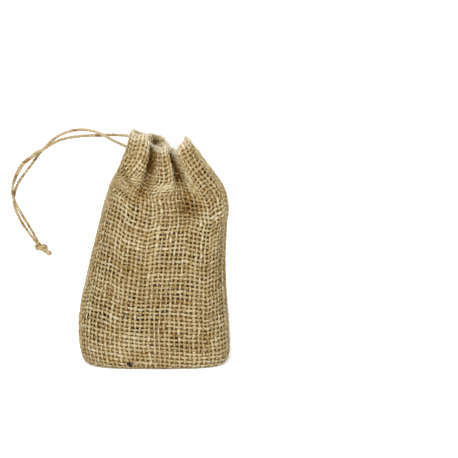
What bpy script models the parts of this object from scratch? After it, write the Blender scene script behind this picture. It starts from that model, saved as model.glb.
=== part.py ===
"""A small hessian drawstring sack, standing by itself with its neck half gathered.

The sack is one length of cloth: a flat base, walls that lean in to a folded neck, and a hem turned in at
the mouth. The neck's folds are clefts that start at the rim and fade out down the wall. Both ends of the
drawstring leave the hem in the cleft at the left, arc out and down together, and are joined by a knot.

Frame: +Z up, the origin under the middle of the base, -Y towards the front, -X towards the string.
A bearing goes round the sack in degrees: 0 at the right, -90 at the front, 180 at the left, 90 behind.
"""

import math
from collections import namedtuple

import bmesh
import bpy
import numpy as np
from mathutils import Vector

MM = 0.001                       # every size below is in millimetres

# Cloth
CLOTH_THICK = 1.0                # one layer of hessian
HEM_THICK = 1.8                  # two layers, the turned-in hem on the cloth
HEM_DEPTH = 16.0                 # rim down to the row of stitches
RIM_ROUND = 0.8                  # how far the folded edge rounds over
MEAN_RIM = 109.0                 # usual height of the mouth
NECK_FULL = 104.0                # from this height up the clefts have their full depth
FOLDS_START = 8.0                # the wall's soft folds grow from the base up to this height
RIM_REACH = 3                    # power: the mouth's ups and downs die away quickly below it
CLEFT_SWING = 3                  # power: a cleft swings to its place at the rim late, near the top
SEAM_BEARING = -192.0            # the left side seam, where each ring of points starts

# Mesh
AROUND = 84                      # points in a ring
DENSE = 720                      # points in the fine ring that it is picked from
BEARING_STEP = 0.5               # degrees to each side, to find which way the wall faces
FINE_PER_POINT = 40              # fine steps for each point of a string's route
SHARP_ABOVE = 60.0               # degrees between two faces that are shaded as an edge
CLEFT_ROUNDING = 0.10            # softens the sharp bottom of a cleft
CLEFT_REACH = 58.0               # the most, in degrees, that a cleft shapes of the folds beside it
FLOOR_INSET = 0.55               # size of the flat ring inside the base, as a share of the base

# Drawstring
CORD_THICK = 1.2
CORD_SIDES_RES = 2               # bevel resolution, 8 sides
CORD_STEP = 3.2                  # distance between points on the cord
GAP = 0.35                       # clearance between the cord and what it meets
SOCKET_DEPTH = 1.5               # how far the cord reaches into the casing
SOCKET_ABOVE = 3.0               # how far the socket's cutter stands out of the cloth

KNOT_AT = (-54.5, -1.0, 56.4)
KNOT_LONG = 5.4
KNOT_THICK = 3.9
KNOT_RIDGE = 0.16                # height of the knot's wraps, as a share of its radius
KNOT_WRAPS = 3
KNOT_STRANDS = 2
KNOT_SIDES = 20
KNOT_RINGS = 14
TAIL_THICK = 1.3                 # the two cut ends, side by side
TAIL_STEP = 1.5

# The wall at each height: how far it reaches each way, how square its plan is (2 is an ellipse), and how
# much thinner front to back its right end is than its left (egg)
Section = namedtuple("Section", "height left right front back square egg")
SECTIONS = [
    Section(0.0, -31.4, 33.8, -19.6, 19.6, 3.2, 0.0),
    Section(1.0, -33.4, 35.6, -21.4, 21.4, 3.2, 0.0),
    Section(3.0, -34.9, 36.5, -22.7, 22.7, 3.1, 0.0),
    Section(7.0, -36.0, 36.8, -23.6, 23.6, 3.0, 0.0),
    Section(17.0, -36.8, 36.5, -24.3, 24.3, 2.9, 0.0),
    Section(30.0, -35.5, 35.6, -24.6, 24.9, 2.8, 0.0),
    Section(42.0, -32.8, 35.0, -24.7, 25.0, 2.7, 0.0),
    Section(54.0, -30.1, 34.9, -24.4, 24.6, 2.8, 0.0),
    Section(67.0, -26.7, 35.6, -23.2, 23.4, 3.0, 0.04),
    Section(77.0, -24.2, 36.3, -21.4, 21.6, 3.2, 0.10),
    Section(86.0, -21.3, 33.9, -18.8, 19.0, 3.1, 0.18),
    Section(95.0, -18.1, 27.6, -16.6, 16.6, 2.7, 0.28),
    Section(105.0, -14.4, 20.9, -14.8, 14.6, 2.2, 0.36),
    Section(115.0, -11.8, 15.6, -13.4, 13.2, 2.1, 0.40),
]

# The clefts between the neck's folds: bearing and depth at the rim, the bearing and height where each fades
# out, its sharpness (0.5 is a narrow cleft between full folds, 2 an even wave), and how far its bottom
# leans towards higher bearings, under the next fold
Cleft = namedtuple("Cleft", "bearing depth foot_bearing foot sharpness lean")
CLEFTS = [
    Cleft(-179.0, 4.0, -179.0, 86.0, 1.8, 0.0),
    Cleft(-97.0, 8.5, -100.0, 75.0, 0.6, -0.8),
    Cleft(-69.0, 8.5, -84.0, 64.0, 0.7, -0.4),
    Cleft(62.0, 9.0, 66.0, 70.0, 0.7, 1.0),
    Cleft(119.0, 8.0, 114.0, 74.0, 0.6, -1.0),
]

# The mouth's height round the neck, which rises over the folds and dips into the clefts
RimPoint = namedtuple("RimPoint", "bearing height")
RIM = [
    RimPoint(-179.0, 111.4),
    RimPoint(-150.0, 113.9),
    RimPoint(-130.0, 112.8),
    RimPoint(-118.0, 112.6),
    RimPoint(-106.0, 112.4),
    RimPoint(-98.0, 109.8),
    RimPoint(-86.0, 107.8),
    RimPoint(-76.0, 107.2),
    RimPoint(-66.0, 104.9),
    RimPoint(-60.0, 105.2),
    RimPoint(-54.0, 106.9),
    RimPoint(-48.0, 108.3),
    RimPoint(-40.0, 109.0),
    RimPoint(-30.0, 109.6),
    RimPoint(-20.0, 110.2),
    RimPoint(-12.0, 108.0),
    RimPoint(-4.0, 105.5),
    RimPoint(10.0, 104.5),
    RimPoint(28.0, 104.9),
    RimPoint(46.0, 104.0),
    RimPoint(64.0, 101.8),
    RimPoint(82.0, 107.6),
    RimPoint(100.0, 109.2),
    RimPoint(119.0, 109.0),
    RimPoint(150.0, 112.6),
]

# Soft ridges (rise above 0) and hollows in the wall. Tilt is the ridge's slope: 0 runs level round the
# sack and 90 runs straight up it.
Fold = namedtuple("Fold", "bearing height half_length half_width tilt rise")
FOLDS = [
    Fold(-129.0, 92.0, 8.0, 1.5, -32.0, -0.9),
    Fold(-131.0, 89.0, 8.5, 1.5, -32.0, 1.3),
    Fold(-128.0, 86.0, 8.0, 1.3, -26.0, -0.8),
    Fold(-130.0, 83.4, 9.0, 1.5, -18.0, 0.8),
    Fold(-103.0, 86.0, 5.5, 3.0, 72.0, -2.4),
    Fold(-88.0, 81.0, 18.0, 3.2, 86.0, 2.4),
    Fold(-80.0, 84.0, 6.5, 4.0, -80.0, -1.4),
    Fold(-79.0, 78.0, 6.0, 4.0, -35.0, -2.8),
    Fold(-63.0, 79.0, 9.0, 4.5, 14.0, -1.8),
    Fold(-66.0, 71.0, 13.0, 2.4, 4.0, 1.4),
    Fold(-38.0, 74.0, 14.0, 5.0, 75.0, 0.9),
    Fold(-24.0, 44.0, 30.0, 3.0, 88.0, -0.6),
    Fold(-104.0, 52.0, 16.0, 6.0, 8.0, -0.7),
    Fold(-75.0, 34.0, 18.0, 6.0, -6.0, 0.4),
    Fold(-128.0, 30.0, 14.0, 5.0, 55.0, -0.8),
    Fold(-60.0, 14.0, 15.0, 4.0, 5.0, -0.6),
    Fold(82.0, 58.0, 22.0, 5.0, 76.0, -1.4),
    Fold(120.0, 40.0, 18.0, 6.0, 100.0, 0.9),
    Fold(55.0, 30.0, 16.0, 6.0, 40.0, -0.8),
    Fold(170.0, 50.0, 22.0, 4.0, 85.0, -0.9),
    Fold(20.0, 60.0, 18.0, 5.0, 100.0, -0.8),
]

# Heights of the rings up the wall, at the usual rim height
RING_HEIGHTS = [0.0, 1.0, 3.0, 7.0, 12.0, 18.0, 24.0, 30.5, 37.0, 43.5, 50.0, 56.0, 62.0, 67.0, 71.5, 76.0,
                79.5, 82.5, 85.0, 87.5, 90.0, 92.5, 95.5, 98.5, 101.5, 104.5, 107.0, MEAN_RIM - RIM_ROUND,
                MEAN_RIM]

# The route of each end of the string, from the casing to the knot
UPPER_ROUTE = [
    (-7.9, 0.9, 108.6), (-12.6, 1.2, 110.2), (-17.0, 1.4, 110.5), (-21.1, 1.5, 110.6), (-25.9, 1.4, 110.3),
    (-30.7, 1.1, 110.3), (-35.6, 0.6, 110.0), (-40.4, -0.1, 109.4), (-45.3, -0.7, 108.1), (-49.1, -1.1, 106.1),
    (-52.5, -1.4, 104.0), (-55.9, -1.8, 102.3), (-58.3, -2.0, 100.3), (-60.7, -2.2, 98.6), (-62.7, -2.4, 96.8),
    (-64.3, -2.6, 94.3), (-65.8, -2.8, 91.3), (-67.0, -2.9, 88.2), (-67.6, -2.9, 84.8), (-67.5, -2.8, 81.8),
    (-66.6, -2.8, 78.9), (-64.6, -2.7, 74.8), (-62.6, -2.5, 71.1), (-60.6, -2.2, 67.6), (-58.7, -1.8, 64.2),
    (-57.3, -1.5, 61.5), (-56.1, -1.2, 58.95),
]
LOWER_ROUTE = [
    (-8.9, 1.1, 103.6), (-14.2, 1.0, 105.6), (-17.7, 0.5, 107.3), (-21.1, 0.0, 109.1), (-23.7, -0.3, 110.7),
    (-26.6, -0.5, 112.0), (-30.7, -0.6, 113.1), (-35.6, -0.5, 113.3), (-40.4, -0.1, 112.4), (-45.3, 0.5, 110.3),
    (-49.1, 0.9, 107.5), (-52.5, 1.0, 104.1), (-55.9, 0.9, 100.1), (-57.8, 0.8, 97.4), (-59.8, 0.7, 94.7),
    (-62.2, 0.6, 91.6), (-64.4, 0.5, 88.5), (-66.2, 0.4, 85.0), (-67.2, 0.3, 81.2), (-67.4, 0.2, 77.8),
    (-66.6, 0.1, 74.4), (-65.1, 0.0, 71.0), (-63.6, 0.0, 68.0), (-61.6, 0.0, 64.8), (-59.4, 0.1, 61.5),
    (-56.9, 0.15, 58.2),
]
TAIL_ROUTE = [(-53.4, -1.2, 55.6), (-52.0, -1.4, 54.4), (-50.2, -1.5, 52.4)]


# ---------------------------------------------------------------- reading the tables

def smooth(knots, values, at):
    """Cubic curve through a table's points, read at each value of at."""
    knots, values = np.asarray(knots, float), np.asarray(values, float)
    slopes = np.gradient(values, knots)
    at = np.clip(at, knots[0], knots[-1])
    i = np.clip(np.searchsorted(knots, at) - 1, 0, len(knots) - 2)
    span = knots[i + 1] - knots[i]
    t = (at - knots[i]) / span
    rise = 3 * t**2 - 2 * t**3
    start_slope = (t**3 - 2 * t**2 + t) * span
    end_slope = (t**3 - t**2) * span
    return values[i] * (1 - rise) + values[i + 1] * rise + slopes[i] * start_slope + slopes[i + 1] * end_slope


def ease(x):
    """0 below 0, 1 above 1, and a smooth step between."""
    x = np.clip(x, 0.0, 1.0)
    return x * x * (3 - 2 * x)


def turn(degrees):
    """The same bearing between -180 and 180."""
    return (degrees + 180.0) % 360.0 - 180.0


def rim_height(bearing):
    knots = np.array([p.bearing for p in RIM])
    once_more = np.concatenate([knots - 360, knots, knots + 360])
    return smooth(once_more, [p.height for p in RIM] * 3, turn(bearing))


# ---------------------------------------------------------------- the wall's surface

def plan_point(bearing, height):
    """The section's outline before it is folded."""
    knots = [s.height for s in SECTIONS]
    left, right, front, back, square, egg = (
        smooth(knots, [getattr(s, column) for s in SECTIONS], height)
        for column in ("left", "right", "front", "back", "square", "egg"))
    angle = np.radians(bearing)
    reach_x, reach_y = (
        np.sign(wave) * np.abs(wave) ** (2 / square) for wave in (np.cos(angle), np.sin(angle)))
    x = (left + right) / 2 + reach_x * (right - left) / 2
    y = (front + back) / 2 + reach_y * (1 - egg * reach_x) * (back - front) / 2
    return np.stack([x, y], axis=-1)


def cleft_pull(bearing, height):
    """How far the clefts draw the wall in, and how far they draw it sideways."""
    inward = np.zeros_like(bearing)
    sideways = np.zeros_like(bearing)
    for i, cleft in enumerate(CLEFTS):
        gap_before = (cleft.bearing - CLEFTS[i - 1].bearing) % 360
        gap_after = (CLEFTS[(i + 1) % len(CLEFTS)].bearing - cleft.bearing) % 360
        fade = ease((height - cleft.foot) / (NECK_FULL - cleft.foot))
        swing = (cleft.bearing - cleft.foot_bearing) * fade**CLEFT_SWING
        off = turn(bearing - cleft.foot_bearing - swing)
        share = np.abs(off) / np.minimum(np.where(off > 0, gap_after, gap_before), CLEFT_REACH)
        open_wave = np.hypot(np.sin(np.pi * np.minimum(share, 0.5)), CLEFT_ROUNDING)
        power = 2.0 + (cleft.sharpness - 2.0) * fade
        pull = fade * np.clip(1 - open_wave**power, 0, 1)
        inward += cleft.depth * pull
        sideways += cleft.lean * pull
    return inward, sideways


def fold_rise(bearing, height):
    """How far the soft ridges and hollows push the wall out."""
    radii = [(s.right - s.left + s.back - s.front) / 4 for s in SECTIONS]
    radius = smooth([s.height for s in SECTIONS], radii, height)
    total = np.zeros_like(bearing)
    for fold in FOLDS:
        east = np.radians(turn(bearing - fold.bearing)) * radius
        up = height - fold.height
        lean = math.radians(fold.tilt)
        along = east * math.cos(lean) + up * math.sin(lean)
        across = up * math.cos(lean) - east * math.sin(lean)
        total += fold.rise * np.exp(-(along / fold.half_length)**2 - (across / fold.half_width)**2)
    return total


def wall_point(bearing, height):
    """A point on the sack's outer surface."""
    along = plan_point(bearing + BEARING_STEP, height) - plan_point(bearing - BEARING_STEP, height)
    onward = along / np.linalg.norm(along, axis=-1, keepdims=True)
    outward = np.stack([onward[..., 1], -onward[..., 0]], axis=-1)
    inward, sideways = cleft_pull(bearing, height)
    push = fold_rise(bearing, height) * ease(height / FOLDS_START) - inward
    plan = plan_point(bearing, height) + outward * push[..., None] + onward * sideways[..., None]
    return np.concatenate([plan, height[..., None]], axis=-1)


def ring(usual_height, inset=0.0):
    """Evenly spaced points round the sack, following the mouth's ups and downs more the higher it is."""
    bearing = np.linspace(SEAM_BEARING, SEAM_BEARING + 360, DENSE + 1)
    height = usual_height + (rim_height(bearing) - MEAN_RIM) * (usual_height / MEAN_RIM) ** RIM_REACH
    points = wall_point(bearing, height)
    if inset:
        along = np.roll(points[:-1], -1, axis=0) - np.roll(points[:-1], 1, axis=0)
        inward = np.stack([-along[:, 1], along[:, 0]], axis=-1)
        inward /= np.linalg.norm(inward, axis=-1, keepdims=True)
        points[:-1, :2] += inward * inset
        points[-1] = points[0]
    travelled = np.concatenate([[0], np.cumsum(np.linalg.norm(np.diff(points, axis=0), axis=1))])
    wanted = np.linspace(0, travelled[-1], AROUND, endpoint=False)
    return [Vector([float(np.interp(w, travelled, points[:, axis])) for axis in range(3)]) for w in wanted]


# ---------------------------------------------------------------- making objects

def material(name, colour, roughness):
    made = bpy.data.materials.new(name)
    made.use_nodes = True
    shader = made.node_tree.nodes["Principled BSDF"]
    shader.inputs["Base Color"].default_value = (*colour, 1.0)
    shader.inputs["Roughness"].default_value = roughness
    shader.inputs["Metallic"].default_value = 0.0
    return made


def add_object(name, data, finish=None):
    made = bpy.data.objects.new(name, data)
    bpy.context.scene.collection.objects.link(made)
    if finish:
        data.materials.append(finish)
    return made


def smooth_curve(points, step):
    """Evenly spaced points along a smooth curve through the given ones."""
    points = np.asarray(points, float)
    reach = np.concatenate([[0], np.cumsum(np.linalg.norm(np.diff(points, axis=0), axis=1))])
    fine = np.linspace(0, reach[-1], FINE_PER_POINT * len(points))
    path = np.stack([smooth(reach, points[:, axis], fine) for axis in range(3)], axis=-1)
    travelled = np.concatenate([[0], np.cumsum(np.linalg.norm(np.diff(path, axis=0), axis=1))])
    wanted = np.linspace(0, travelled[-1], max(3, round(travelled[-1] / step) + 1))
    return np.stack([np.interp(wanted, travelled, path[:, axis]) for axis in range(3)], axis=-1)


def tube(name, points, thick, finish=None):
    curve = bpy.data.curves.new(name, "CURVE")
    curve.dimensions = "3D"
    curve.bevel_depth = thick / 2 * MM
    curve.bevel_resolution = CORD_SIDES_RES
    curve.use_fill_caps = True
    spline = curve.splines.new("POLY")
    spline.points.add(len(points) - 1)
    for spot, point in zip(spline.points, points):
        spot.co = (*(float(c) * MM for c in point), 1.0)
    return add_object(name, curve, finish)


def tube_cutter(name, points, thick):
    """The same tube as a mesh, for a Boolean, left out of the part itself."""
    guide = tube(name, points, thick)
    shape = guide.evaluated_get(bpy.context.evaluated_depsgraph_get())
    cutter = add_object(name, bpy.data.meshes.new_from_object(shape))
    bpy.data.objects.remove(guide, do_unlink=True)
    cutter.hide_render = True
    cutter.display_type = "WIRE"
    return cutter


# ---------------------------------------------------------------- the pieces

def make_sack(finish):
    """The outer skin as rings of quads, thickened inwards, with a socket cut for each end of the string."""
    base_edge = ring(0.0)
    middle = sum(base_edge, Vector()) / AROUND
    rings = [[middle + (p - middle) * FLOOR_INSET for p in base_edge]]
    rings += [ring(h) for h in RING_HEIGHTS[:-1]]
    rings.append(ring(RING_HEIGHTS[-1], inset=RIM_ROUND))

    skin = bmesh.new()
    rows = [[skin.verts.new(p * MM) for p in points] for points in rings]
    skin.faces.new(reversed(rows[0]))
    for lower, upper in zip(rows, rows[1:]):
        for i in range(AROUND):
            j = (i + 1) % AROUND
            skin.faces.new((lower[i], lower[j], upper[j], upper[i]))
    bmesh.ops.triangulate(skin, faces=skin.faces[1:])
    mesh = bpy.data.meshes.new("sack")
    skin.to_mesh(mesh)
    skin.free()

    sack = add_object("sack", mesh, finish)
    hem = sack.vertex_groups.new(name="hem")
    hem_rows = 1 + sum(h < MEAN_RIM - HEM_DEPTH for h in RING_HEIGHTS)
    hem.add(range(hem_rows * AROUND, len(mesh.vertices)), 1.0, "REPLACE")
    thicken = sack.modifiers.new("cloth thickness", "SOLIDIFY")
    thicken.thickness = HEM_THICK * MM
    thicken.offset = -1.0
    thicken.use_even_offset = False
    thicken.vertex_group = hem.name
    thicken.thickness_vertex_group = CLOTH_THICK / HEM_THICK

    for name, route in (("upper socket", UPPER_ROUTE), ("lower socket", LOWER_ROUTE)):
        first, second = Vector(route[0]), Vector(route[1])
        away = (second - first).normalized()
        ends = [first - away * GAP, first + away * (SOCKET_DEPTH + SOCKET_ABOVE)]
        cut = sack.modifiers.new(name, "BOOLEAN")
        cut.operation = "DIFFERENCE"
        cut.object = tube_cutter(name + " cutter", ends, CORD_THICK + 2 * GAP)
    return sack


def make_strand(name, route, finish):
    return tube(name, smooth_curve(route, CORD_STEP), CORD_THICK, finish)


def make_knot(finish):
    """A ridged bead for the wraps, joined to the two cut ends that leave it side by side."""
    along = (Vector(TAIL_ROUTE[-1]) - Vector(LOWER_ROUTE[-1])).normalized()
    bead = bmesh.new()
    bmesh.ops.create_uvsphere(bead, u_segments=KNOT_SIDES, v_segments=KNOT_RINGS, radius=1.0)
    spin = Vector((0, 0, 1)).rotation_difference(along).to_matrix()
    for vert in bead.verts:
        point = vert.co.copy()
        bearing = math.atan2(point.y, point.x)
        wrap = math.cos(bearing * KNOT_STRANDS + KNOT_WRAPS * math.pi * point.z)
        swell = 1 + KNOT_RIDGE * wrap * math.hypot(point.x, point.y)
        shape = Vector((point.x * KNOT_THICK / 2, point.y * KNOT_THICK / 2, point.z * KNOT_LONG / 2))
        vert.co = (spin @ (shape * swell) + Vector(KNOT_AT)) * MM
    mesh = bpy.data.meshes.new("drawstring_knot")
    bead.to_mesh(mesh)
    bead.free()
    knot = add_object("drawstring_knot", mesh, finish)

    join = knot.modifiers.new("cut ends", "BOOLEAN")
    join.operation = "UNION"
    join.object = tube_cutter("cut ends", smooth_curve(TAIL_ROUTE, TAIL_STEP), TAIL_THICK)
    return knot


def shade_smooth(made):
    made.data.shade_smooth()
    made.data.set_sharp_from_angle(angle=math.radians(SHARP_ABOVE))


def main():
    for old in list(bpy.data.objects):
        bpy.data.objects.remove(old, do_unlink=True)
    hessian = material("hessian", (0.47, 0.34, 0.17), 0.92)
    jute = material("jute cord", (0.60, 0.45, 0.25), 0.88)
    sack = make_sack(hessian)
    make_strand("drawstring_strand_upper", UPPER_ROUTE, jute)
    make_strand("drawstring_strand_lower", LOWER_ROUTE, jute)
    knot = make_knot(jute)
    shade_smooth(sack)
    shade_smooth(knot)


main()
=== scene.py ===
"""The looks of a small hessian drawstring sack, half gathered at the neck and standing by itself.

The cloth is woven here thread by thread. Its surface is worked out from the sections, clefts, folds and
rim heights below, then ruled with thread lines: warp threads run up the wall, over the rim and down
inside as the hem, and weft threads go round. A place on the cloth is a row, counted down from the rim,
and a column, counted round from the left side seam, both in threads.

Sizes are in millimetres, and MM turns them into the metres that the scene and the frame use.
"""

import math
from collections import namedtuple

import bpy
import numpy as np
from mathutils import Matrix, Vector


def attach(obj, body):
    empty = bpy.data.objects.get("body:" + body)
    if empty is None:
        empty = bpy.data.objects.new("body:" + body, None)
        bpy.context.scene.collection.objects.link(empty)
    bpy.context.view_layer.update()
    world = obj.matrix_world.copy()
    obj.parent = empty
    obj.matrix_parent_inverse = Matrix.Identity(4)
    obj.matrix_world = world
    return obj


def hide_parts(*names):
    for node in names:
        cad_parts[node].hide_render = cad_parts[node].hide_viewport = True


MM = 0.001
SEED = 11  # of everything that varies by chance

# ---------------------------------------------------------------- sizes

# Camera
VIEW_ELEVATION = 10.0  # degrees above the horizon
VIEW_DISTANCE = 950.0
VIEW_AIM = (36.5, 0.0, 64.9)
VIEW_WIDTH = 221.7  # how much the view takes in at the sack
SENSOR_WIDTH = 36.0

# Cloth
MEAN_RIM = 109.0  # usual height of the mouth
NECK_FULL = 104.0  # from this height up the clefts have their full depth
FOLDS_START = 8.0  # the wall's soft folds grow from the base up to this height
RIM_REACH = 3  # power: the mouth's ups and downs die away quickly below it
CLEFT_SWING = 3  # power: a cleft swings to its place at the rim late, near the top
CLEFT_ROUNDING = 0.10  # softens the sharp bottom of a cleft
CLEFT_REACH = 58.0  # the most, in degrees, that a cleft shapes of the folds beside it
SEAM_BEARING = -192.0  # the left side seam, where the columns start
HEM_DEPTH = 16.0  # rim down to the row of stitches

# Threads
WARPS = 86  # threads round the sack, half of them in each panel
ROW_PITCH = 2.1  # one weft to the next
WARP_WIDTH = 1.02
WEFT_WIDTH = 1.08
THREAD_THICK = 0.62
SQUEEZED_THICK = 0.45  # the share of its thickness that the most squeezed thread keeps
CRIMP = 0.33  # how far a thread swings in and out of the cloth's middle
FIRST_WEFT = -8  # the row of the hem's inner edge
MIDDLE_WEFT = 24  # the row where the upper wefts give way to the lower ones
STEPS = 4  # points along a thread from one crossing to the next
SIDES = 6  # points round a thread

# How uneven the yarn is: from one thread to the next, along a thread, and how many points apart it changes
# there
Uneven = namedtuple("Uneven", "between along run")
SLUB = Uneven(0.09, 0.13, 14)  # thickness, as a power of e
TONE = Uneven(0.05, 0.12, 10)  # how pale it is
WARMTH = Uneven(0.12, 0.20, 16)  # how ruddy it is
USUAL_WARMTH = 0.5
LUMPS_FROM = 0.6  # a thread swells into a lump where another random line passes this
LUMP_SWELL = 0.18
LUMP_RUN = 40
RING_SETTLES = 8  # points over which a closed thread's two ends come to one thickness

# How uneven the weave is, in threads
WIDE_PATCHES = (7, 9)  # it drifts in wide patches, so many down and round the cloth
WIDE_DRIFT = 0.11
SMALL_PATCHES = (26, 40)  # and in small ones
SMALL_DRIFT = 0.07
RIM_DRIFT = 0.35  # the share of that drift which the sewn hem leaves at the rim
WARP_WANDER = 0.06  # each thread's own drift
WARP_WANDER_RUN = 8
WEFT_WANDER = 0.07
WEFT_WANDER_WAVES = 44  # random values round the sack

# How the cloth lies on the outer surface that the sections give
CLOTH_INSET = 0.5  # from that surface in to the middle of the outer layer
HEM_TURN = 0.66  # radius of the turn over the rim
TURN_POINTS = 9  # points over the turn
RIM_DROP = 1.2  # the turn starts this much below the top
BASE_MIDDLE = 0.70  # the middle of the cloth under the base, above the ground
BASE_SETTLES = 2.0  # the cloth comes down to it over this far in from the wall
BASE_STEP = 0.5  # one point under the base to the next
GROUND = 0.02  # nothing reaches lower

# Working grid
DENSE = 1440  # bearings at each level
BEARING_STEP = 0.5  # degrees to each side, to find which way the wall faces
LEVELS = 221
RISE_LEVELS = 3  # the way up at the rim is taken over this many levels
COLUMNS = WARPS * STEPS
SPOT_STEP = 0.2  # threads, to find which way is down the cloth and which is across

# Drawstring
TWINE_SIDES = 8  # points round a ply
TWINE_STEP = 0.3  # one point along it to the next
KNOT_STEP = 0.25  # and in the knot
FINE_POINTS = 40  # a curve's length is measured on this many points for each given one
PLY_THICK = 0.88
PLY_WIDER = 1.08  # a ply's width, as a share of its thickness
PLY_OUT = 0.29  # from the twine's middle to a ply's
PLY_SLUB = 0.08  # how uneven its thickness is, as a power of e
PLY_SLUB_RUN = 12
TWINE_TWIST = 3.3  # length of one full turn
TWINE_TONE = 0.60  # how pale its fibres are, as for the threads
TWINE_TONE_ALONG = 0.10
TWINE_TONE_RUN = 20
TWINE_WARMTH = 0.4
PATCHES_FROM = 0.4  # it has ruddy patches where a random line passes this
PATCH_RUN = 9
PATCH_DEEPER = 0.55
PATCH_WARMER = 1.2
SWELL_AT = 58.0  # the upper end is loosely spun, and thicker, this far along
SWELL_HALF = 9.0
SWELL = 0.40
TAIL_LOOSENS = 0.28  # both cut ends are this much thicker where they stop

Section = namedtuple("Section", "height left right front back square egg")
SECTIONS = [Section(*row) for row in (
    (0.0, -31.4, 33.8, -19.6, 19.6, 3.2, 0.0),
    (1.0, -33.4, 35.6, -21.4, 21.4, 3.2, 0.0),
    (3.0, -34.9, 36.5, -22.7, 22.7, 3.1, 0.0),
    (7.0, -36.0, 36.8, -23.6, 23.6, 3.0, 0.0),
    (17.0, -36.8, 36.5, -24.3, 24.3, 2.9, 0.0),
    (30.0, -35.5, 35.6, -24.6, 24.9, 2.8, 0.0),
    (42.0, -32.8, 35.0, -24.7, 25.0, 2.7, 0.0),
    (54.0, -30.1, 34.9, -24.4, 24.6, 2.8, 0.0),
    (67.0, -26.7, 35.6, -23.2, 23.4, 3.0, 0.04),
    (77.0, -24.2, 36.3, -21.4, 21.6, 3.2, 0.10),
    (86.0, -21.3, 33.9, -18.8, 19.0, 3.1, 0.18),
    (95.0, -18.1, 27.6, -16.6, 16.6, 2.7, 0.28),
    (105.0, -14.4, 20.9, -14.8, 14.6, 2.2, 0.36),
    (115.0, -11.8, 15.6, -13.4, 13.2, 2.1, 0.40),
)]

# The clefts between the neck's folds: bearing and depth at the rim, the bearing and height where each fades
# out, its sharpness (0.5 is a narrow cleft between full folds, 2 an even wave), and how far its bottom
# leans towards higher bearings, under the next fold
Cleft = namedtuple("Cleft", "bearing depth foot_bearing foot sharpness lean")
CLEFTS = [Cleft(*row) for row in (
    (-179.0, 4.0, -179.0, 86.0, 1.8, 0.0),
    (-94.5, 3.5, -99.0, 74.0, 0.8, -0.8),
    (-65.0, 4.5, -84.0, 66.0, 0.8, -0.4),
    (62.0, 6.0, 66.0, 70.0, 0.7, 1.0),
    (119.0, 5.0, 114.0, 74.0, 0.6, -1.0),
)]

# The tight slots at the bottoms of the clefts: depth, bearing at the rim and at the foot, half width in
# degrees, and the height where the slot starts and where it is fully deep
Slot = namedtuple("Slot", "depth bearing foot_bearing half foot full")
SLOTS = [Slot(*row) for row in (
    (5.5, -91.5, -102.5, 5.0, 80.0, 98.0),
    (7.0, -64.5, -83.0, 6.0, 82.0, 93.0),
    (5.0, 62.0, 65.0, 6.0, 84.0, 104.0),
    (5.0, 119.0, 117.0, 6.0, 84.0, 104.0),
)]
SLOT_WALL = 6  # power: how upright a slot's sides are
SLOT_TOP = 110.0  # the slot's bearing at the rim is reached at this height

# The rim of the mouth: bearing and height
RIM = [
    (-179.0, 111.4), (-150.0, 113.9), (-130.0, 112.8), (-118.0, 113.3), (-106.0, 113.0), (-98.0, 110.3),
    (-91.0, 106.6), (-85.0, 106.6), (-78.0, 107.9), (-72.0, 108.1), (-66.0, 106.0), (-60.0, 104.2),
    (-54.0, 107.0), (-48.0, 108.0), (-40.0, 109.1), (-30.0, 109.9), (-20.0, 111.4), (-12.0, 108.6),
    (-4.0, 105.5), (10.0, 104.5), (28.0, 104.9), (46.0, 104.0), (64.0, 101.8), (82.0, 108.4),
    (100.0, 109.8), (119.0, 110.2), (150.0, 112.6),
]

# Soft ridges (rise above 0) and hollows in the wall. Tilt is the ridge's slope: 0 runs level round the
# sack and 90 runs straight up it.
Fold = namedtuple("Fold", "bearing height half_length half_width tilt rise")
FOLDS = [Fold(*row) for row in (
    (-129.0, 92.0, 8.0, 1.5, -34.0, -2.0),
    (-131.0, 88.8, 8.5, 1.4, -34.0, 1.8),
    (-128.0, 86.0, 8.0, 1.4, -30.0, -1.9),
    (-130.0, 83.0, 9.0, 1.4, -24.0, 1.3),
    (-103.0, 86.0, 5.5, 3.0, 72.0, -1.6),
    (-88.0, 81.0, 18.0, 3.2, 86.0, 2.4),
    (-80.0, 84.0, 6.5, 4.0, -80.0, -1.4),
    (-83.0, 78.5, 6.5, 4.5, -40.0, -2.2),
    (-77.5, 75.5, 7.5, 4.0, 12.0, -1.5),
    (-66.0, 71.0, 13.0, 2.4, 4.0, 1.4),
    (-38.0, 74.0, 14.0, 5.0, 75.0, 0.9),
    (-24.0, 44.0, 30.0, 3.0, 88.0, -0.6),
    (-104.0, 52.0, 16.0, 6.0, 8.0, -0.7),
    (-75.0, 34.0, 18.0, 6.0, -6.0, 0.4),
    (-128.0, 30.0, 14.0, 5.0, 55.0, -0.8),
    (-60.0, 14.0, 15.0, 4.0, 5.0, -0.6),
    (82.0, 58.0, 22.0, 5.0, 76.0, -1.4),
    (120.0, 40.0, 18.0, 6.0, 100.0, 0.9),
    (55.0, 30.0, 16.0, 6.0, 40.0, -0.8),
    (170.0, 50.0, 22.0, 4.0, 85.0, -0.9),
    (20.0, 60.0, 18.0, 5.0, 100.0, -0.8),
)]

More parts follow.
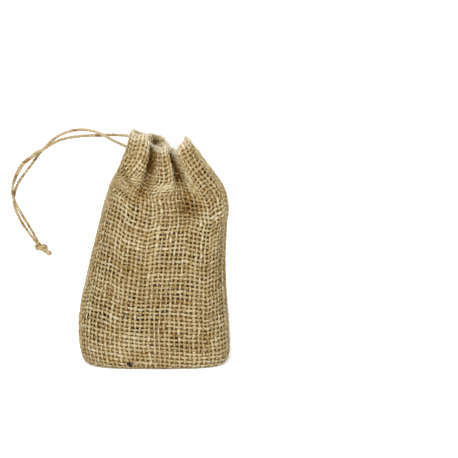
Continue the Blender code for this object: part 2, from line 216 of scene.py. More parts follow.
# The route of each end of the string, from the casing to the knot
UPPER_ROUTE = [
    (-7.9, 0.9, 108.6), (-12.6, 1.2, 110.2), (-17.0, 1.4, 110.5), (-21.1, 1.5, 110.6),
    (-25.9, 1.4, 110.3), (-30.7, 1.1, 110.3), (-35.6, 0.6, 110.0), (-40.4, -0.1, 109.4),
    (-45.3, -0.7, 108.1), (-49.1, -1.1, 106.1), (-52.5, -1.4, 104.0), (-55.9, -1.8, 102.3),
    (-58.3, -2.0, 100.3), (-60.7, -2.2, 98.6), (-62.7, -2.4, 96.8), (-64.3, -2.6, 94.3),
    (-65.8, -2.8, 91.3), (-67.0, -2.9, 88.2), (-67.6, -2.9, 84.8), (-67.5, -2.8, 81.8),
    (-66.6, -2.8, 78.9), (-64.6, -2.7, 74.8), (-62.6, -2.5, 71.1), (-60.6, -2.2, 67.6),
    (-58.7, -1.8, 64.2), (-57.3, -1.5, 61.5), (-56.1, -1.2, 58.95),
]
LOWER_ROUTE = [
    (-8.9, 1.1, 103.6), (-14.2, 1.0, 105.6), (-17.7, 0.5, 107.3), (-21.1, 0.0, 109.1),
    (-23.7, -0.3, 110.7), (-26.6, -0.5, 112.0), (-30.7, -0.6, 113.1), (-35.6, -0.5, 113.3),
    (-40.4, -0.1, 112.4), (-45.3, 0.5, 110.3), (-49.1, 0.9, 107.5), (-52.5, 1.0, 104.1),
    (-55.9, 0.9, 100.1), (-57.8, 0.8, 97.4), (-59.8, 0.7, 94.7), (-62.2, 0.6, 91.6), (-64.4, 0.5, 88.5),
    (-66.2, 0.4, 85.0), (-67.2, 0.3, 81.2), (-67.4, 0.2, 77.8), (-66.6, 0.1, 74.4), (-65.1, 0.0, 71.0),
    (-63.6, 0.0, 68.0), (-61.6, 0.0, 64.8), (-59.4, 0.1, 61.5), (-56.9, 0.15, 58.2),
]
# The knot: its middle, the way the strands run through it, and their routes on to their cut ends
KNOT_AT = (-54.2, -1.0, 56.1)
KNOT_AXIS = (0.80, 0.0, -0.60)
KNOT_ROUTES = [
    [(-56.3, -1.3, 59.25), (-54.7, -1.3, 57.3), (-52.4, -1.4, 55.2), (-49.75, -1.5, 53.1)],
    [(-57.1, 0.15, 58.5), (-55.5, -0.4, 56.4), (-53.2, -0.9, 54.6), (-50.25, -1.2, 52.45)],
]
# The doubled turn tied round them: how far along the axis, across it to the upper right, and forward
KNOT_TURN = [
    (0.3, -0.2, -0.9), (-0.9, -0.4, -1.2), (-1.9, -0.8, -0.7), (-2.3, -1.3, 0.3), (-1.7, -1.7, 1.1),
    (-0.8, -1.1, 1.5), (-0.2, 0.2, 1.5), (0.3, 1.2, 1.0), (1.0, 1.6, 0.1), (1.7, 1.0, -0.4),
    (1.8, 0.1, 0.4), (1.1, -0.6, 0.9), (0.4, -0.8, 0.3), (0.1, -0.2, -0.5),
]
TURN_DOUBLED = 0.46  # each of the turn's two strands lies this far to a side of its route
FRAY_COUNT = 6  # loose fibres at a cut end
FRAY_SIDES = 4
FRAY_LENGTH = (0.4, 1.0)
FRAY_HALF = (0.05, 0.09)  # half a fibre's thickness
FRAY_START = 0.3  # they start this far inside the end
FRAY_ROOTS = 0.45  # and within this far of its middle
FRAY_BEND = (0.1, 0.9)
FRAY_TONE = (0.3, 0.9)
FRAY_WARMTH = 0.5
FRAY_TAPER = (1.0, 0.95, 0.85, 0.7, 0.35)


# ---------------------------------------------------------------- small helpers

def smooth(knots, values, at):
    """Cubic curve through a table's points, read at each value of at."""
    knots, values = np.asarray(knots, float), np.asarray(values, float)
    slopes = np.gradient(values, knots)
    at = np.clip(at, knots[0], knots[-1])
    i = np.clip(np.searchsorted(knots, at) - 1, 0, len(knots) - 2)
    span = knots[i + 1] - knots[i]
    t = (at - knots[i]) / span
    rise = 3 * t**2 - 2 * t**3
    start_slope = (t**3 - 2 * t**2 + t) * span
    end_slope = (t**3 - t**2) * span
    between = values[i] * (1 - rise) + values[i + 1] * rise
    return between + slopes[i] * start_slope + slopes[i + 1] * end_slope


def ease(x):
    """0 below 0, 1 above 1, and a smooth step between."""
    x = np.clip(x, 0.0, 1.0)
    return x * x * (3 - 2 * x)


def turn(degrees):
    """The same bearing between -180 and 180."""
    return (degrees + 180.0) % 360.0 - 180.0


def unit(vectors):
    return vectors / np.maximum(np.linalg.norm(vectors, axis=-1, keepdims=True), 1e-9)


def distance_along(points):
    """How far each point lies along the line through them all."""
    steps = np.linalg.norm(np.diff(points, axis=0), axis=-1)
    return np.concatenate([np.zeros_like(steps[:1]), np.cumsum(steps, axis=0)])


def neighbour_gap(values, axis):
    """From the place before to the place after, along an axis that closes round the sack."""
    return np.roll(values, -1, axis=axis) - np.roll(values, 1, axis=axis)


def read_line(points, known, at):
    """Places on a line of points, known being how far along it each of them lies."""
    return np.stack([np.interp(at, known, values) for values in points.T], axis=-1)


def soft_noise(rng, shape, cells):
    """Smooth random values of about 1 in size, on a grid whose last axis closes round the sack."""
    knots = rng.normal(size=(cells[0] + 1, cells[1]))
    knots = np.concatenate([knots, knots[:, :1]], axis=1)
    down = np.linspace(0, cells[0], shape[0])
    across = np.linspace(0, cells[1], shape[1], endpoint=False)
    i, j = (np.minimum(np.floor(x).astype(int), n - 1) for x, n in ((down, cells[0]), (across, cells[1])))
    s, t = ease(down - i)[:, None], ease(across - j)[None, :]
    top = knots[i][:, j] * (1 - t) + knots[i][:, j + 1] * t
    bottom = knots[i + 1][:, j] * (1 - t) + knots[i + 1][:, j + 1] * t
    return top * (1 - s) + bottom * s


def soft_line(rng, count, run, fewest=3):
    """Smooth random values along a line: a new one about every run points, and at least the fewest."""
    cells = max(fewest, count // run)
    knots = rng.normal(size=cells + 2)
    at = np.linspace(0, cells, count)
    i = np.minimum(np.floor(at).astype(int), cells)
    t = ease(at - i)
    return knots[i] * (1 - t) + knots[i + 1] * t


# ---------------------------------------------------------------- the wall's surface

def rim_height(bearing):
    knots, heights = np.transpose(RIM)
    once_more = np.concatenate([knots - 360, knots, knots + 360])
    return smooth(once_more, np.tile(heights, 3), turn(bearing))


def plan_point(bearing, height):
    """The section's outline before it is folded."""
    knots = [s.height for s in SECTIONS]
    left, right, front, back, square, egg = (
        smooth(knots, [getattr(s, column) for s in SECTIONS], height)
        for column in ("left", "right", "front", "back", "square", "egg"))
    angle = np.radians(bearing)
    reach_x, reach_y = (
        np.sign(wave) * np.abs(wave) ** (2 / square) for wave in (np.cos(angle), np.sin(angle)))
    x = (left + right) / 2 + reach_x * (right - left) / 2
    y = (front + back) / 2 + reach_y * (1 - egg * reach_x) * (back - front) / 2
    return np.stack([x, y], axis=-1)


def cleft_pull(bearing, height):
    """How far the clefts draw the wall in, and how far sideways."""
    inward = np.zeros_like(bearing)
    sideways = np.zeros_like(bearing)
    for i, cleft in enumerate(CLEFTS):
        gap_before = (cleft.bearing - CLEFTS[i - 1].bearing) % 360
        gap_after = (CLEFTS[(i + 1) % len(CLEFTS)].bearing - cleft.bearing) % 360
        fade = ease((height - cleft.foot) / (NECK_FULL - cleft.foot))
        swing = (cleft.bearing - cleft.foot_bearing) * fade**CLEFT_SWING
        off = turn(bearing - cleft.foot_bearing - swing)
        share = np.abs(off) / np.minimum(np.where(off > 0, gap_after, gap_before), CLEFT_REACH)
        open_wave = np.hypot(np.sin(np.pi * np.minimum(share, 0.5)), CLEFT_ROUNDING)
        power = 2.0 + (cleft.sharpness - 2.0) * fade
        pull = fade * np.clip(1 - open_wave**power, 0, 1)
        inward += cleft.depth * pull
        sideways += cleft.lean * pull
    return inward, sideways


def slot_share(slot, bearing, height):
    """1 in the bottom of a slot, 0 outside it."""
    climb = (height - slot.foot) / (SLOT_TOP - slot.foot)
    off = turn(bearing - slot.foot_bearing - (slot.bearing - slot.foot_bearing) * climb)
    return ease((height - slot.foot) / (slot.full - slot.foot)) / (1 + (off / slot.half) ** SLOT_WALL)


def fold_rise(bearing, height):
    """How far the soft ridges and hollows push the wall out."""
    radii = [(s.right - s.left + s.back - s.front) / 4 for s in SECTIONS]
    radius = smooth([s.height for s in SECTIONS], radii, height)
    total = np.zeros_like(bearing)
    for fold in FOLDS:
        east = np.radians(turn(bearing - fold.bearing)) * radius
        up = height - fold.height
        lean = math.radians(fold.tilt)
        along = east * math.cos(lean) + up * math.sin(lean)
        across = up * math.cos(lean) - east * math.sin(lean)
        total += fold.rise * np.exp(-(along / fold.half_length)**2 - (across / fold.half_width)**2)
    return total


def wall_point(bearing, height):
    """A point on the sack's outer surface, how far into a slot it is, and how much painted shade its
    threads get in the slots and hollows.
    """
    along = plan_point(bearing + BEARING_STEP, height) - plan_point(bearing - BEARING_STEP, height)
    onward = unit(along)
    outward = np.stack([onward[..., 1], -onward[..., 0]], axis=-1)
    inward, sideways = cleft_pull(bearing, height)
    shares = [slot_share(slot, bearing, height) for slot in SLOTS]
    crowd = np.clip(sum(shares), 0.0, 1.0)
    rise = fold_rise(bearing, height) * ease(height / FOLDS_START)
    push = rise - inward - sum(slot.depth * share for slot, share in zip(SLOTS, shares))
    # painted shade: threads are darkened in the bottom of a slot and in a hollow of the folds
    shelter = np.clip(sum(share**3 for share in shares) - rise / DEEP_HOLLOW, 0.0, 1.0)
    plan = plan_point(bearing, height) + outward * push[..., None] + onward * sideways[..., None]
    return np.concatenate([plan, height[..., None]], axis=-1), crowd, shelter


# ---------------------------------------------------------------- ruling the surface with threads

Wall = namedtuple("Wall", "points normals shelter")  # [level, column]: base edge to rim
Cloth = namedtuple("Cloth", "points normals shelter rows wide_pitch long_pitch edge_row end_row")

HEM_ROWS = HEM_DEPTH / ROW_PITCH
BASE_DOUBLED_FROM = 48.5  # the row from which the folded base backs the wall
SLOT_BUNCH = 0.6  # the most that threads crowd together in a slot
SEAM_BUNCH = 0.45  # and beside a side seam
SEAM_HALF = 2.2  # half width of a side seam's groove
SEAM_GROOVE = 0.8  # its depth
USUAL_TONE = 0.395  # of a thread, from 0, deep, to 1, pale
CREST_WEAR_AND_HIGHLIGHT = 0.20  # a thread is paler where it lies on the outside and deeper where it dips in: partly wear, partly painted highlight on the crests and painted shade in the dips
RIM_PALER = 0.70  # the rim is paler than the wall, partly from wear and partly as painted highlight
RIM_ROWS = 1.3  # over this many rows outside
RIM_ROWS_INSIDE = 0.5  # and this many inside the mouth, where less painted highlight is put on
BASE_PALER = 0.05  # the foot of the wall is paler too, up to this height
BASE_PALE_UP = 34.0
DEEP_HOLLOW = 6.5  # a hollow this deep gets the full painted shade on its threads
HOLLOW_SHADE_DEEPER = 0.90  # and this is how much deeper in colour that painted shade makes them
INSIDE_DEEPER = 0.50  # painted shade inside the mouth, on the threads of the hem there
INSIDE_FROM = 0.5  # it starts this many rows inside the rim
INSIDE_FADE = 2.5  # and is full after this many more


def ruled_wall():
    """The wall with its points moved along each level onto the warp threads' lines.

    Each panel is as wide at the neck as at the belly, so its threads crowd together in the slots.
    """
    around = np.linspace(SEAM_BEARING, SEAM_BEARING + 360, DENSE + 1)
    usual = np.linspace(0.0, MEAN_RIM - RIM_DROP, LEVELS)[:, None]
    height = usual + (rim_height(around) - MEAN_RIM) * (usual / MEAN_RIM) ** RIM_REACH
    points, crowd, shelter = wall_point(np.broadcast_to(around, height.shape), height)
    ruled = np.empty((LEVELS, COLUMNS, 3))
    ruled_hollow_shade = np.empty((LEVELS, COLUMNS))
    half, width = DENSE // 2, COLUMNS // 2
    column = np.arange(width) / STEPS
    for panel in (0, 1):
        part = slice(panel * half, (panel + 1) * half + 1)
        own = slice(panel * width, (panel + 1) * width)
        steps = np.linalg.norm(np.diff(points[:, part], axis=1), axis=-1)
        crowding = (crowd[:, part][:, 1:] + crowd[:, part][:, :-1]) / 2
        spare = steps.sum(axis=1).max() - steps.sum(axis=1)
        bunch = np.clip(spare / np.maximum((crowding * steps).sum(axis=1), 1e-6), 0.0, SLOT_BUNCH)
        cloth_steps = steps * (1 + bunch[:, None] * crowding)
        for level in range(LEVELS):
            passed = np.concatenate([[0.0], np.cumsum(cloth_steps[level])])
            line = (column - seam_bunching(column)) * passed[-1] / (WARPS / 2)
            ruled[level, own] = read_line(points[level, part], passed, line)
            ruled_hollow_shade[level, own] = np.interp(line, passed, shelter[level, part])
    normals = unit(np.cross(neighbour_gap(ruled, 1), np.gradient(ruled, axis=0)))
    return Wall(ruled, normals, ruled_hollow_shade)


def seam_distance(column):
    """Threads from the nearer side seam, signed: the seams are at column 0 and halfway round."""
    half = WARPS / 2
    return (column + half / 2) % half - half / 2


def seam_bunching(column):
    """How far, in threads, the threads beside a side seam are drawn towards it."""
    off = seam_distance(column)
    return SEAM_BUNCH * off * np.exp(-(off / SEAM_HALF) ** 2)


def round_trend(values, waves):
    """A ring of values with only its broadest waves kept."""
    spectrum = np.fft.rfft(values)
    spectrum[waves + 1:] = 0
    return np.fft.irfft(spectrum, len(values))


def bottom_fold(edge):
    """Where the fold across the base ends at the left and right, and the depth to each side of it."""
    half_depth = np.abs(edge[:, 1]).max()
    return edge[:, 0].min() + half_depth, edge[:, 0].max() - half_depth, half_depth


def base_line(start, normal, fold_left, fold_right):
    """Points under the base from the wall's edge to the bottom fold, or to the tucked corner's fold."""
    x, y = start[0], start[1]
    past_end = max(x - fold_right, fold_left - x, 0.0)
    if abs(y) >= past_end:
        inward = np.array([0.0, -np.sign(y), 0.0])
        length = abs(y) - past_end
    else:
        inward = np.array([np.sign(fold_left - x), 0.0, 0.0])
        length = past_end - abs(y)
    count = max(2, int(length / BASE_STEP) + 1)
    reach = np.linspace(0.0, length, count + 1)[1:, None]
    line = start + inward * reach
    settled = ease(reach / BASE_SETTLES)
    line[:, 2:] = start[2] * (1 - settled) + BASE_MIDDLE * settled
    face = unit(normal * (1 - settled) + np.array([0.0, 0.0, -1.0]) * settled)
    return line, face, length


def ruled_cloth(wall):
    """The middle of the cloth along every column: inside hem, turn, wall and base, at even rows."""
    middle = wall.points - wall.normals * CLOTH_INSET
    groove = SEAM_GROOVE * np.exp(-(seam_distance(np.arange(COLUMNS) / STEPS) / (SEAM_HALF / 2)) ** 2)
    middle -= wall.normals * groove[:, None]
    lengths = distance_along(middle[::-1])
    wall_rows = round_trend(lengths[-1], waves=2) / ROW_PITCH
    fold_left, fold_right, half_depth = bottom_fold(middle[0])
    turn_angles = np.linspace(0, np.pi, TURN_POINTS)
    turn_rows = HEM_TURN * np.pi / 2 / ROW_PITCH

    rows = np.arange(-(HEM_ROWS + 0.5), wall_rows.max() + half_depth / ROW_PITCH + 1, 1 / STEPS)
    rows = np.round(rows * STEPS) / STEPS
    points = np.empty((len(rows), COLUMNS, 3))
    normals = np.empty_like(points)
    shelter = np.empty((len(rows), COLUMNS))
    end_row = np.empty(COLUMNS)
    for column in range(COLUMNS):
        face = wall.normals[::-1, column]
        outer = middle[::-1, column]
        rise = unit(outer[0] - outer[RISE_LEVELS])
        hub = outer[0] - face[0] * HEM_TURN
        arc_face = (face[0] * np.cos(turn_angles)[:, None] + rise * np.sin(turn_angles)[:, None])[::-1]
        arc = hub + arc_face * HEM_TURN
        inner = (outer - face * 2 * HEM_TURN)[::-1]
        inner_rows = -turn_rows - lengths[::-1, column] / ROW_PITCH
        outer_rows = turn_rows + lengths[:, column] / lengths[-1, column] * wall_rows[column]
        under, under_face, length = base_line(outer[-1], face[-1], fold_left, fold_right)
        under_rows = outer_rows[-1] + np.linspace(0, length / ROW_PITCH, len(under) + 1)[1:]
        keep = inner_rows > rows[0] - 1
        at = np.concatenate([inner_rows[keep][:-1], np.linspace(-turn_rows, turn_rows, len(arc)),
                             outer_rows[1:], under_rows])
        line = np.concatenate([inner[keep][:-1], arc, outer[1:], under])
        out = np.concatenate([-face[::-1][keep][:-1], arc_face, face[1:], under_face])
        points[:, column] = read_line(line, at, rows)
        normals[:, column] = read_line(out, at, rows)
        shelter[:, column] = np.interp(rows, outer_rows, wall.shelter[::-1, column])
        end_row[column] = at[-1]
    wide_pitch = np.linalg.norm(neighbour_gap(points, 1), axis=-1) * STEPS / 2
    long_pitch = np.linalg.norm(np.gradient(points, axis=0), axis=-1) * STEPS
    edge_row = wall_rows + turn_rows
    return Cloth(points, unit(normals), shelter, rows, wide_pitch, long_pitch, edge_row, end_row)


def read_grid(grid, cloth, row, column):
    """A grid of values over the cloth, read at places between its points."""
    r = np.clip((row - cloth.rows[0]) * STEPS, 0, len(cloth.rows) - 1.001)
    c = (column * STEPS) % COLUMNS
    i, j = np.floor(r).astype(int), np.floor(c).astype(int) % COLUMNS
    s, t = r - i, c - np.floor(c)
    k = (j + 1) % COLUMNS
    if grid.ndim == 3:
        s, t = s[..., None], t[..., None]
    return (grid[i, j] * (1 - s) * (1 - t) + grid[i + 1, j] * s * (1 - t)
            + grid[i, k] * (1 - s) * t + grid[i + 1, k] * s * t)

def cloth_at(cloth, row, column):
    """Places in the cloth's middle, and the way that the cloth faces there."""
    return read_grid(cloth.points, cloth, row, column), unit(read_grid(cloth.normals, cloth, row, column))


def spot_on_cloth(cloth, row, column):
    """One place, the way the cloth faces there, and the directions down and across it."""
    rows = row + np.array([0.0, SPOT_STEP, 0.0])
    columns = column + np.array([0.0, 0.0, SPOT_STEP])
    places, faces = cloth_at(cloth, rows, columns)
    return places[0], faces[0], unit(places[1] - places[0]), unit(places[2] - places[0])


# ---------------------------------------------------------------- threads

# What one thread is made of: the middle line, the way its flat side faces, half its width and half its
# thickness, and how pale and how warm it is at each point
Thread = namedtuple("Thread", "line face half_wide half_thick tone warmth closed")
Slack = namedtuple("Slack", "rows columns")          # how the weave is pushed about, in threads

WARP_START = 0.1  # the warps start this many rows in from the hem's inner edge
SHORTEST = 2  # a weft's length under the base crosses more threads than this
STRIP_MARGIN = 0.1  # free share of a thread's strip on the bake's map, at each side
CAP_LONG = 0.3  # half sizes of its end's patch there
CAP_WIDE = 0.2


def weave_slack(rng, cloth):
    """Uneven spacing: patches and bands where threads lie wider apart or closer together."""
    shape = cloth.points.shape[:2]
    fields = []
    for _ in range(2):
        wide = soft_noise(rng, shape, WIDE_PATCHES)
        small = soft_noise(rng, shape, SMALL_PATCHES)
        fields.append(WIDE_DRIFT * wide + SMALL_DRIFT * small)
    free = RIM_DRIFT + (1 - RIM_DRIFT) * ease(np.abs(cloth.rows) / (2 * HEM_ROWS))[:, None]
    return Slack(*(field * free for field in fields))


def woven_thread(cloth, slack, row, column, side, wide, pitch_grid, rng, closed=False):
    """A thread along rows and columns of the cloth, side telling which way it swings at each point."""
    count = len(row)
    moved_row = row + read_grid(slack.rows, cloth, row, column)
    moved_column = column + read_grid(slack.columns, cloth, row, column)
    middle, face = cloth_at(cloth, moved_row, moved_column)
    line = middle + face * (CRIMP * side)[:, None]
    slub = vary(rng, count, SLUB)
    slub += LUMP_SWELL * np.maximum(soft_line(rng, count, LUMP_RUN) - LUMPS_FROM, 0)
    if closed:
        slub *= ease(np.minimum(np.arange(count), np.arange(count)[::-1]) / RING_SETTLES)
    room = read_grid(pitch_grid, cloth, moved_row, moved_column) / 2
    half_wide = np.minimum(wide / 2 * np.exp(slub), room)
    squeezed = SQUEEZED_THICK + (1 - SQUEEZED_THICK) * half_wide / (wide / 2)
    half_thick = THREAD_THICK / 2 * np.exp(slub / 2) * np.minimum(1.0, squeezed)
    # paler on the crests and deeper in the dips: partly wear, partly painted highlight and painted shade
    tone = USUAL_TONE + CREST_WEAR_AND_HIGHLIGHT * side + vary(rng, count, TONE)
    # the rim is paler, partly from wear and partly as painted highlight
    tone += RIM_PALER * worn(row) + BASE_PALER * (1 - ease(line[:, 2] / BASE_PALE_UP))
    # painted shade in the slots and hollows, and inside the mouth
    tone -= painted_shade(cloth, moved_row, moved_column)
    warmth = USUAL_WARMTH + vary(rng, count, WARMTH)
    return Thread(line, face, half_wide, half_thick, tone, warmth, closed)


def vary(rng, count, uneven):
    """How far one thread departs from the usual at each of its points."""
    return uneven.between * rng.normal() + uneven.along * soft_line(rng, count, uneven.run, fewest=4)


def plain_thread(line, face, half_wide, half_thick, tone, warmth):
    """A thread with one tone and one warmth all along. Its face and its sizes may be single values too."""
    values = (np.broadcast_to(value, len(line)) for value in (half_wide, half_thick, tone, warmth))
    return Thread(line, np.broadcast_to(face, line.shape), *values, False)


def worn(row):
    """1 on the rim, which is paler partly from wear and partly as painted highlight, and 0 a few rows from
    it.
    """
    return np.exp(-(row / np.where(row < 0, RIM_ROWS_INSIDE, RIM_ROWS)) ** 2)


def painted_shade(cloth, row, column):
    """How much painted shade deepens the fibres' colour in the slots and hollows of the wall, and inside
    the mouth.
    """
    shelter = read_grid(cloth.shelter, cloth, row, column) * ease(row / RIM_ROWS)
    inside = ease((-row - INSIDE_FROM) / INSIDE_FADE)
    return HOLLOW_SHADE_DEEPER * shelter + INSIDE_DEEPER * inside


def over_under(own_number, crossings):
    """+1 where a thread is on the outside at a crossing, -1 where it is inside, and a wave between."""
    return np.cos(np.pi * crossings) * (1 if own_number % 2 else -1)


def warp_threads(cloth, slack, rng):
    """The threads that run up the wall, each cut off where its column ends under the base."""
    made = []
    pitch = cloth.wide_pitch
    first = cloth.rows[0] + WARP_START
    for number in range(WARPS):
        column = number + 0.5
        end = float(np.interp(column * STEPS, np.arange(COLUMNS), cloth.end_row))
        count = int((end - first) * STEPS) + 1
        row = np.linspace(first, end, count)
        wander = WARP_WANDER * soft_line(rng, count, WARP_WANDER_RUN)
        side = over_under(number, row)
        made.append(woven_thread(cloth, slack, row, column + wander, side, WARP_WIDTH, pitch, rng))
    return made


def weft_threads(cloth, slack, rng, first, last):
    """The threads that go round, from one row to another. Under the base each is in several lengths."""
    made = []
    pitch = cloth.long_pitch
    around = np.arange(COLUMNS) / STEPS
    for number in range(first, last):
        row = number + WEFT_WANDER * soft_noise(rng, (2, COLUMNS), (1, WEFT_WANDER_WAVES))[0]
        side = -over_under(number, around - 0.5)
        present = row < cloth.end_row
        if present.all():
            made.append(woven_thread(cloth, slack, row, around, side, WEFT_WIDTH, pitch, rng, closed=True))
            continue
        order = (np.arange(COLUMNS) + int(np.argmin(present))) % COLUMNS
        for run in runs_of(present[order]):
            pick = order[run]
            if len(pick) > SHORTEST * STEPS:
                column = around[pick[0]] + np.arange(len(pick)) / STEPS
                made.append(woven_thread(cloth, slack, row[pick], column, side[pick],
                                         WEFT_WIDTH, pitch, rng))
    return made


def runs_of(flags):
    """The stretches of places in a row that are all true."""
    edges = np.flatnonzero(np.diff(np.concatenate([[0], flags.astype(int), [0]])))
    return [np.arange(a, b) for a, b in zip(edges[::2], edges[1::2])]


def tube_parts(thread, sides):
    """A thread's corners, its quads, and the ring and the side that each quad's four corners belong to."""
    count = len(thread.line)
    if thread.closed:
        onward = unit(neighbour_gap(thread.line, 0))
        lengths = count
    else:
        onward = unit(np.gradient(thread.line, axis=0))
        lengths = count - 1
    across = unit(np.cross(onward, thread.face))
    up = np.cross(across, onward)
    angles = np.arange(sides) / sides * 2 * np.pi
    corners = (thread.line[:, None]
               + across[:, None] * (thread.half_wide[:, None] * np.cos(angles))[..., None]
               + up[:, None] * (thread.half_thick[:, None] * np.sin(angles))[..., None])
    ring = np.repeat(np.arange(lengths), sides)[:, None] + np.array([0, 1, 1, 0])
    side = np.tile(np.arange(sides), lengths)[:, None] + np.array([0, 0, 1, 1])
    quads = ring % count * sides + side % sides
    return corners.reshape(-1, 3), quads, ring, side


def make_threads(name, threads, material, sides):
    """One mesh of tubes with closed ends.

    Its yarn map runs in millimetres along a thread and from 0 to 1 round it. On the bake's map each
    thread has a strip of its own.
    """
    corners, faces, yarn_map, bake_map = [], [], [], []
    first = 0
    longest = max(len(t.line) for t in threads)
    for number, t in enumerate(threads):
        rings, quads, ring, side = tube_parts(t, sides)
        passed = distance_along(t.line)
        passed = np.append(passed, 2 * passed[-1] - passed[-2])
        strip = number + STRIP_MARGIN + (1 - 2 * STRIP_MARGIN) * side / sides
        faces += (quads + first).tolist()
        yarn_map.append(np.stack([passed[ring], side / sides], axis=-1).reshape(-1, 2))
        bake_map.append(np.stack([ring / longest, strip / len(threads)], axis=-1).reshape(-1, 2))
        if not t.closed:
            for end, order in ((0, np.arange(sides)), (len(t.line) - 1, np.arange(sides)[::-1])):
                turned = order / sides * 2 * np.pi
                cap_along = (end + CAP_LONG * np.cos(turned)) / longest
                cap_across = (number + 0.5 + CAP_WIDE * np.sin(turned)) / len(threads)
                faces.append((first + end * sides + order).tolist())
                yarn_map.append(np.stack([np.full(sides, passed[end]), order / sides], axis=-1))
                bake_map.append(np.stack([cap_along, cap_across], axis=-1))
        corners.append(rings)
        first += len(rings)
    corners = np.concatenate(corners)
    corners[:, 2] = np.maximum(corners[:, 2], GROUND)
    mesh = bpy.data.meshes.new(name)
    mesh.from_pydata((corners * MM).tolist(), [], faces)
    for map_name, values in (("yarn", yarn_map), ("OFBake", bake_map)):
        layer = mesh.uv_layers.new(name=map_name)
        layer.uv.foreach_set("vector", np.concatenate(values).astype(np.float32).ravel())
    for label in ("tone", "warmth"):
        set_values(mesh, label, np.concatenate([np.repeat(getattr(t, label), sides) for t in threads]))
    return add_piece(name, mesh, material)


def set_values(mesh, label, values):
    """A number at each corner of a mesh, which its material reads."""
    mesh.attributes.new(label, "FLOAT", "POINT").data.foreach_set("value", values.astype(np.float32))


def add_piece(name, mesh, material):
    """A finished mesh as a piece of the sack."""
    mesh.materials.append(material)
    mesh.shade_smooth()
    made = bpy.data.objects.new(name, mesh)
    bpy.context.scene.collection.objects.link(made)
    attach(made, "root")
    return made


# ---------------------------------------------------------------- what lies behind the threads

GROUND_OUT = 0.30  # the ground cloth's outer side, in from the middle of the threads
GROUND_THICK = 0.22
GROUND_STEP = 2  # it has a corner at every second point of the working grid
UNDER_SHARES = (0.25, 0.5, 0.75, 0.97)  # where it has rings under the base, on the way to the fold
HEM_FADE = 1.5  # rows over which the hem stops backing the gaps
BASE_FADE = 2.5  # rows over which the folded base starts to


def ground_cloth(cloth, material):
    """The fibres that fill the gaps between threads, as one closed thin cloth in the threads' middle.

    It goes from the inner edge of the hem over the rim and down to the base, where its two panels meet at
    the bottom fold. Its near-black, where no second layer lies behind, is painted shade: the sack's shaded
    inside seen through the gaps.
    """
    columns = np.arange(0, COLUMNS, GROUND_STEP)
    wall_end = cloth.edge_row[columns]
    rings, rows = [], []
    for row in cloth.rows[::GROUND_STEP]:
        rings.append(cloth_at(cloth, np.minimum(row, wall_end), columns / STEPS))
        rows.append(row)
        if (row >= wall_end).all():
            break
    edge = rings[-1][0]
    fold_left, fold_right, _ = bottom_fold(edge)
    fold = np.stack([np.clip(edge[:, 0], fold_left, fold_right), np.zeros(len(edge)),
                     np.full(len(edge), BASE_MIDDLE)], axis=-1)
    down = np.broadcast_to([0.0, 0.0, -1.0], edge.shape)
    for share in UNDER_SHARES:
        place = edge * (1 - share) + fold * share
        place[:, 2] = BASE_MIDDLE
        rings.append((place, down))
        rows.append(cloth.rows[-1])

    outer = [place - face * GROUND_OUT for place, face in rings]
    inner = [place - face * (GROUND_OUT + GROUND_THICK) for place, face in rings]
    skin = np.array(outer + inner[::-1])
    loops, width = skin.shape[:2]
    i, j = (grid.ravel() for grid in np.indices((loops, width)))
    onward, beside = (i + 1) % loops, (j + 1) % width
    faces = np.stack([i * width + j, onward * width + j,
                      onward * width + beside, i * width + beside], axis=1)
    at_edges = np.isin(i, (len(rings) - 1, loops - 1))  # across its thickness, at the fold and at the hem
    faces[at_edges] = np.roll(faces[at_edges], 1, axis=1)  # these are split along their other diagonal
    mesh = bpy.data.meshes.new("ground_cloth")
    mesh.from_pydata((skin.reshape(-1, 3) * MM).tolist(), [], faces.tolist())

    rows = np.array(rows + rows[::-1])
    doubled = np.maximum(1 - ease((rows - HEM_ROWS + 1) / HEM_FADE),
                         ease((rows - BASE_DOUBLED_FROM) / BASE_FADE))
    set_values(mesh, "doubled", np.repeat(doubled, width))
    # the rim's fluff is paler, partly from wear and partly as painted highlight
    set_values(mesh, "worn", np.repeat(np.exp(-(rows / RIM_ROWS) ** 2), width))
    return add_piece("ground_cloth", mesh, material)


# ---------------------------------------------------------------- loose fibres, specks and stitches

HAIR_COUNT = 4600
HAIR_SIDES = 3
HAIRS_ON_RIM = 0.18  # the share of the hairs that stand on the rim
HAIR_SPREAD = 0.9  # their usual distance from it, in rows
RIM_HAIR_LENGTH = 0.7  # their length and lift, against a hair elsewhere
RIM_HAIR_LIFT = 1.8
HAIR_LENGTH = (1.2, 4.2)
HAIR_ROOT = 0.42  # where it starts, out from the cloth's middle
HAIR_LIFT = (0.15, 0.75)  # how high it arches above that
HAIR_ARCH = (1.6, 3.4)  # how much of an arch it makes, in radians
HAIR_BEND = 0.8  # usual swerve to a side
HAIR_HALF = (0.032, 0.055)  # half its thickness at the root
HAIR_TAPER = (1.0, 1.0, 0.9, 0.7, 0.3)
HAIR_TONE = (0.4, 0.95)
HAIR_WEAR_AND_HIGHLIGHT = 0.5  # how much paler a hair is on the rim, partly from wear and partly as painted highlight
HAIR_SHADE = 1.2  # how much of the cloth's painted shade, in the hollows and inside the mouth, it takes on
HAIR_INSIDE = 0.7  # and how much more painted shade it gets inside the mouth
HAIR_WARMTH = (0.2, 0.8)


